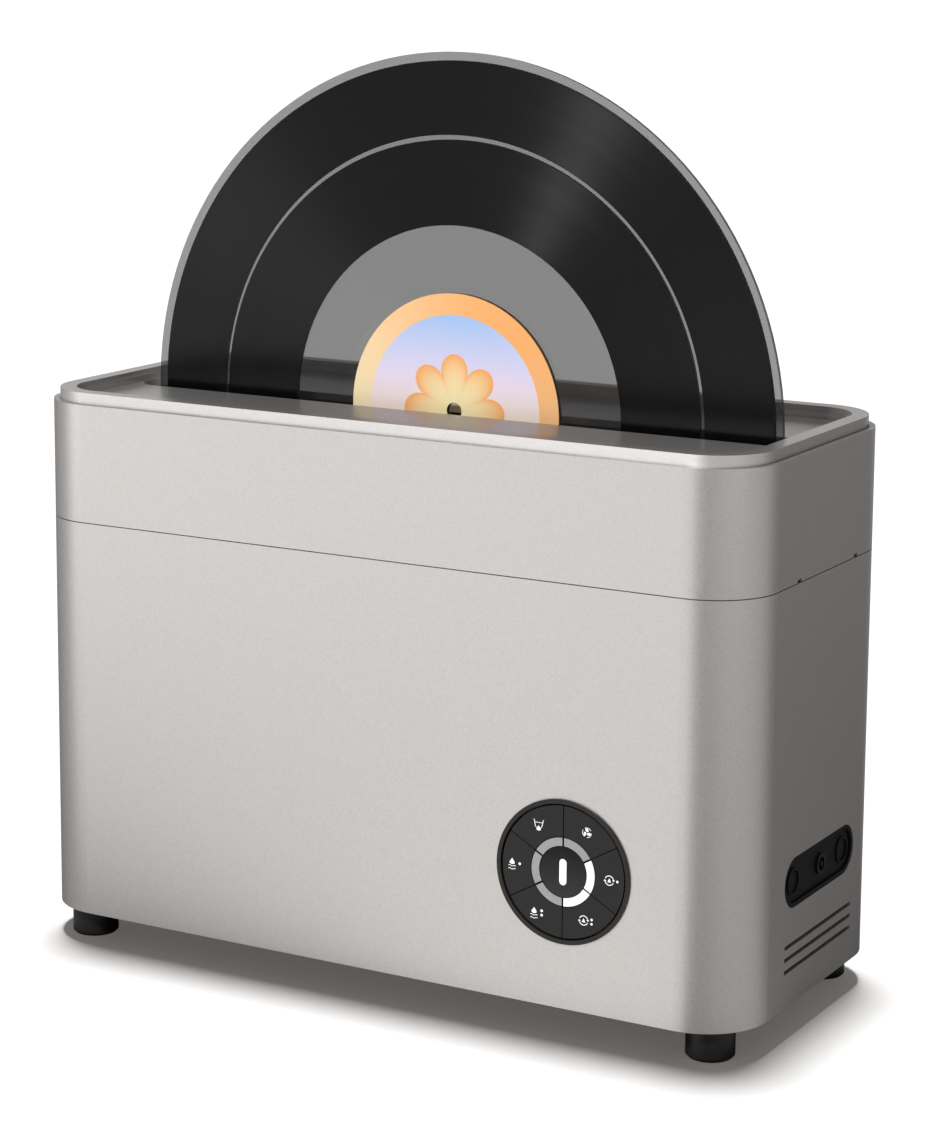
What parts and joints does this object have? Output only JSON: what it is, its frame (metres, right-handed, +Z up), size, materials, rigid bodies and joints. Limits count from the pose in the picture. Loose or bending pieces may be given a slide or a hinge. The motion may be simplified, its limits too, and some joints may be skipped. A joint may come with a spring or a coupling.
{
  "type": "record cleaning machine",
  "caption": "Upright box-shaped ultrasonic record cleaner with a record standing in its long deck slot, a round key panel on the front, a pull-out rear water tank and round feet.",
  "frame": {"origin": "on the floor at the centre between the feet", "axes": "+X to the right seen from the front, +Y to the back, +Z up"},
  "size_m": [0.339, 0.1486, 0.3894],
  "materials": {
    "case_paint": "fine satin metallic",
    "deck_paint": "satin metallic grey",
    "black_plastic": "fine matt",
    "bezel_black": "satin black",
    "key_black": "satin dark grey",
    "lit_white": "glowing white",
    "unlit_grey": "milky grey",
    "rubber_black": "matt",
    "roller_rubber": "soft silicone",
    "steel": "plain",
    "bath_steel": "brushed",
    "transducer_metal": "machined",
    "record_vinyl": "grooved gloss",
    "label_paper": "printed paper",
    "white_plastic": "plain",
    "grey_plastic": "plain",
    "bronze": "sintered",
    "tank_clear": "smoky clear",
    "hose_clear": "milky silicone",
    "board_green": "solder mask",
    "parts_dark": "mixed components"
  },
  "bodies": {
    "case": {"upper_housing": "case_paint", "lower_housing": "case_paint", "deck_tray": "deck_paint", "base_plate": "black_plastic", "feet": "rubber_black", "foot_screws": "steel", "case_screws": "steel", "side_cover": "black_plastic", "supply_socket": "black_plastic", "bezel": "bezel_black", "lights_on": "lit_white", "lights_off": "unlit_grey", "panel_carrier": "black_plastic", "panel_board": "board_green", "panel_switches": "grey_plastic", "bath": "bath_steel", "bath_gasket": "rubber_black", "edge_guides": "white_plastic", "transducers": "transducer_metal", "shaft_bushes": "bronze", "shaft_seals": "rubber_black", "drive_motor": "steel", "tank_bay": "black_plastic", "pump_body": "black_plastic", "pump_motor": "steel", "fill_hose": "hose_clear", "drain_hose": "hose_clear", "drain_valve": "black_plastic", "blower_housings": "black_plastic", "air_ducts": "black_plastic", "driver_board": "board_green", "board_parts": "parts_dark"},
    "record": {"record": "record_vinyl", "record_label": "label_paper"},
    "drive_roller": {"drive_shaft": "steel", "drive_roller": "white_plastic", "drive_tyre": "roller_rubber", "drive_gear": "white_plastic"},
    "idler_roller": {"idler_shaft": "steel", "idler_roller": "white_plastic", "idler_tyre": "roller_rubber"},
    "motor_pinion": {"motor_pinion": "bronze"},
    "pump_impeller": {"pump_impeller": "white_plastic"},
    "blower_wheel_right": {"blower_wheel_right": "grey_plastic"},
    "blower_wheel_left": {"blower_wheel_left": "grey_plastic"},
    "tank": {"water_tank": "tank_clear", "tank_face": "case_paint", "tank_filter": "white_plastic"},
    "tank_cap": {"tank_cap": "rubber_black"},
    "tank_valve": {"tank_valve": "rubber_black"},
    "valve_plunger": {"valve_plunger": "steel"},
    "key_auto_short": {"key_auto_short": "key_black"},
    "key_dry": {"key_dry": "key_black"},
    "key_drain": {"key_drain": "key_black"},
    "key_wash_short": {"key_wash_short": "key_black"},
    "key_wash_long": {"key_wash_long": "key_black"},
    "key_auto_long": {"key_auto_long": "key_black"},
    "power_key": {"power_key": "key_black", "power_light": "lit_white"}
  },
  "joints": [
    {"name": "record_spin", "type": "hinge", "parent": "case", "child": "record", "pos_m": [0, 0, 0.2386], "axis": [0, 1, 0], "continuous": true},
    {"name": "drive_roller_spin", "type": "hinge", "parent": "case", "child": "drive_roller", "pos_m": [0.10259, 0, 0.11634], "axis": [0, 1, 0], "continuous": true},
    {"name": "idler_roller_spin", "type": "hinge", "parent": "case", "child": "idler_roller", "pos_m": [-0.10259, 0, 0.11634], "axis": [0, 1, 0], "continuous": true},
    {"name": "motor_spin", "type": "hinge", "parent": "case", "child": "motor_pinion", "pos_m": [0.10259, 0, 0.14046], "axis": [0, 1, 0], "continuous": true},
    {"name": "pump_spin", "type": "hinge", "parent": "case", "child": "pump_impeller", "pos_m": [0.0608, 0.0506, 0.022], "axis": [0, 0, 1], "continuous": true},
    {"name": "blower_right_spin", "type": "hinge", "parent": "case", "child": "blower_wheel_right", "pos_m": [0.13, -0.002, 0.022], "axis": [0, 0, 1], "continuous": true},
    {"name": "blower_left_spin", "type": "hinge", "parent": "case", "child": "blower_wheel_left", "pos_m": [-0.13, 0.002, 0.022], "axis": [0, 0, 1], "continuous": true},
    {"name": "key_auto_short_press", "type": "slide", "parent": "case", "child": "key_auto_short", "axis": [0, 1, 0], "range_m": [0, 0.001], "stiffness_N_per_m": 400, "springref_m": -0.002},
    {"name": "key_dry_press", "type": "slide", "parent": "case", "child": "key_dry", "axis": [0, 1, 0], "range_m": [0, 0.001], "stiffness_N_per_m": 400, "springref_m": -0.002},
    {"name": "key_drain_press", "type": "slide", "parent": "case", "child": "key_drain", "axis": [0, 1, 0], "range_m": [0, 0.001], "stiffness_N_per_m": 400, "springref_m": -0.002},
    {"name": "key_wash_short_press", "type": "slide", "parent": "case", "child": "key_wash_short", "axis": [0, 1, 0], "range_m": [0, 0.001], "stiffness_N_per_m": 400, "springref_m": -0.002},
    {"name": "key_wash_long_press", "type": "slide", "parent": "case", "child": "key_wash_long", "axis": [0, 1, 0], "range_m": [0, 0.001], "stiffness_N_per_m": 400, "springref_m": -0.002},
    {"name": "key_auto_long_press", "type": "slide", "parent": "case", "child": "key_auto_long", "axis": [0, 1, 0], "range_m": [0, 0.001], "stiffness_N_per_m": 400, "springref_m": -0.002},
    {"name": "power_key_press", "type": "slide", "parent": "case", "child": "power_key", "axis": [0, 1, 0], "range_m": [0, 0.001], "stiffness_N_per_m": 400, "springref_m": -0.002},
    {"name": "tank_pull", "type": "slide", "parent": "case", "child": "tank", "axis": [0, 1, 0], "range_m": [0, 0.055]},
    {"name": "cap_turn", "type": "hinge", "parent": "tank", "child": "tank_cap", "pos_m": [-0.03, 0.0495, 0.0928], "axis": [0, 0, 1], "range_deg": [0, 90]},
    {"name": "tank_valve_lift", "type": "slide", "parent": "tank", "child": "tank_valve", "axis": [0, 1, 0], "range_m": [0, 0.002], "stiffness_N_per_m": 200, "springref_m": -0.002},
    {"name": "drain_valve_pull", "type": "slide", "parent": "case", "child": "valve_plunger", "axis": [0, -1, 0], "range_m": [0, 0.006], "stiffness_N_per_m": 300, "springref_m": -0.004}
  ],
  "couplings": [
    {"joint": "drive_roller_spin", "follows": "record_spin", "ratio": -17.741},
    {"joint": "idler_roller_spin", "follows": "record_spin", "ratio": -17.741},
    {"joint": "motor_spin", "follows": "record_spin", "ratio": 70.965}
  ]
}
